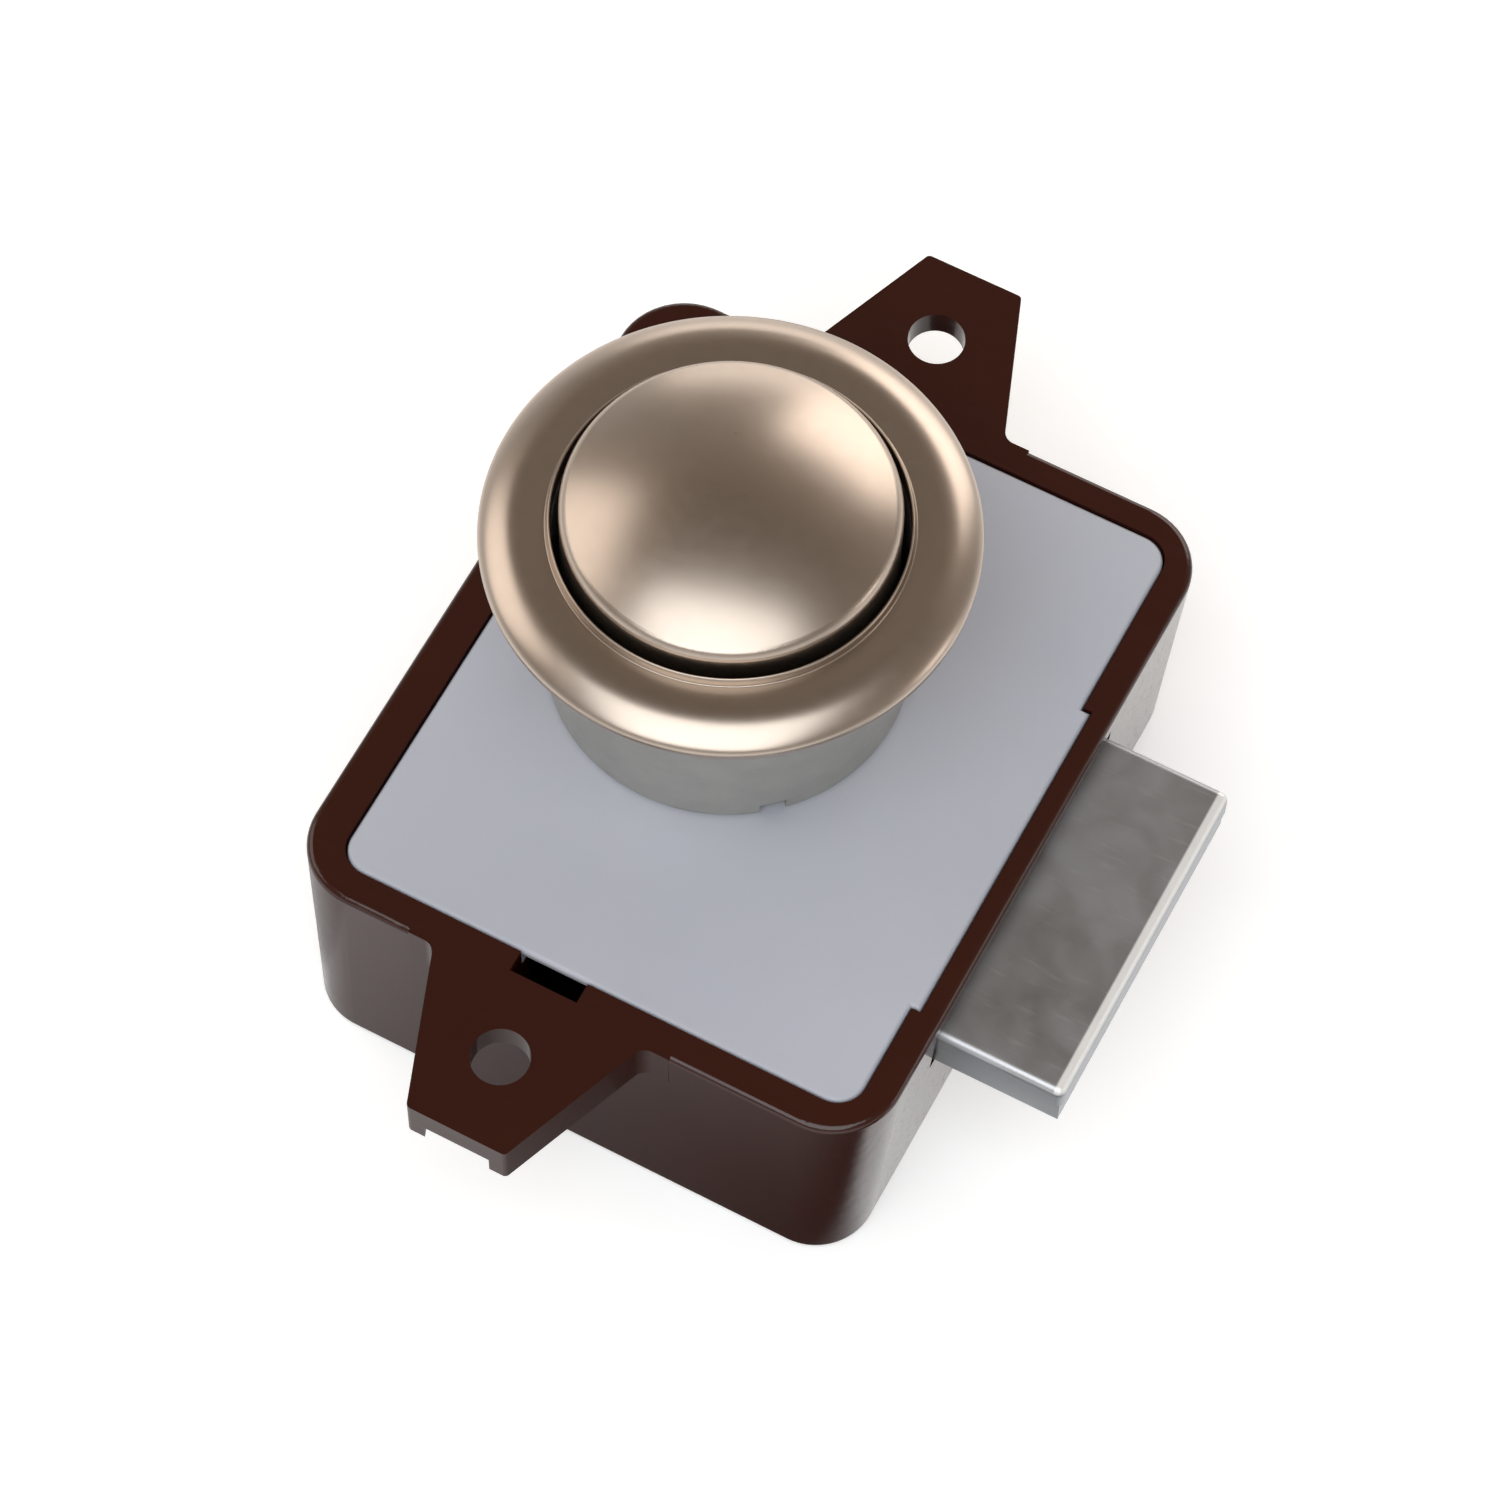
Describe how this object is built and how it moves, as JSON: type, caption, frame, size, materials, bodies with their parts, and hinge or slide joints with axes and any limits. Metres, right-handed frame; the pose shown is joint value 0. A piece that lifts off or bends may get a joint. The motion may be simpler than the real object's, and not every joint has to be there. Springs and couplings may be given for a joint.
{
  "type": "push button cabinet lock",
  "caption": "Push button cabinet lock: a moulded case with screw ears, a thrown bolt, and a domed push-push button in a threaded rosette that clamps the door.",
  "frame": {"origin": "on the button's axis, in the plane of the case's rim and ears, which lies against the back of the door", "axes": "+Z out through the door towards the button, +X the way the bolt is thrown, +Y along the line of the two screw ears"},
  "size_m": [0.055, 0.0774, 0.045],
  "materials": {
    "case_plastic": "smooth glossy dark red-brown moulding",
    "cover_plastic": "milky translucent blue-grey moulding",
    "nickel": "satin champagne nickel plating",
    "sleeve_zinc": "turned grey zinc, bare of the ring's plating",
    "barrel_zinc": "dull grey die-cast zinc",
    "zinc_plate": "dull zinc plating, bright on its edges",
    "core_plastic": "off-white moulded acetal",
    "spring_steel": "drawn spring wire and strip",
    "steel": "bright zinc-plated steel"
  },
  "bodies": {
    "housing": {"case": "case_plastic", "cover_plate": "cover_plastic", "threaded_barrel": "barrel_zinc", "return_spring": "spring_steel", "latch_wire": "spring_steel", "leaf_spring": "spring_steel", "leaf_screw": "steel"},
    "button": {"button_cap": "nickel", "button_insert": "core_plastic", "button_screw": "steel", "plunger": "core_plastic", "spring_washer": "steel"},
    "bolt": {"bolt": "zinc_plate", "cam_pins": "steel"},
    "rosette": {"rosette": "nickel", "rosette_sleeve": "sleeve_zinc"}
  },
  "joints": [
    {"name": "button_slide", "type": "slide", "parent": "housing", "child": "button", "axis": [0, 0, 1], "range_m": [-0.0012, 0.0088], "deforming": ["return_spring", "latch_wire"]},
    {"name": "bolt_slide", "type": "slide", "parent": "housing", "child": "bolt", "axis": [1, 0, 0], "range_m": [-0.0088, 0.0012]},
    {"name": "rosette_lift", "type": "slide", "parent": "housing", "child": "rosette", "axis": [0, 0, 1], "range_m": [0, 0.045]}
  ],
  "couplings": [
    {"joint": "bolt_slide", "follows": "button_slide", "ratio": -1}
  ]
}
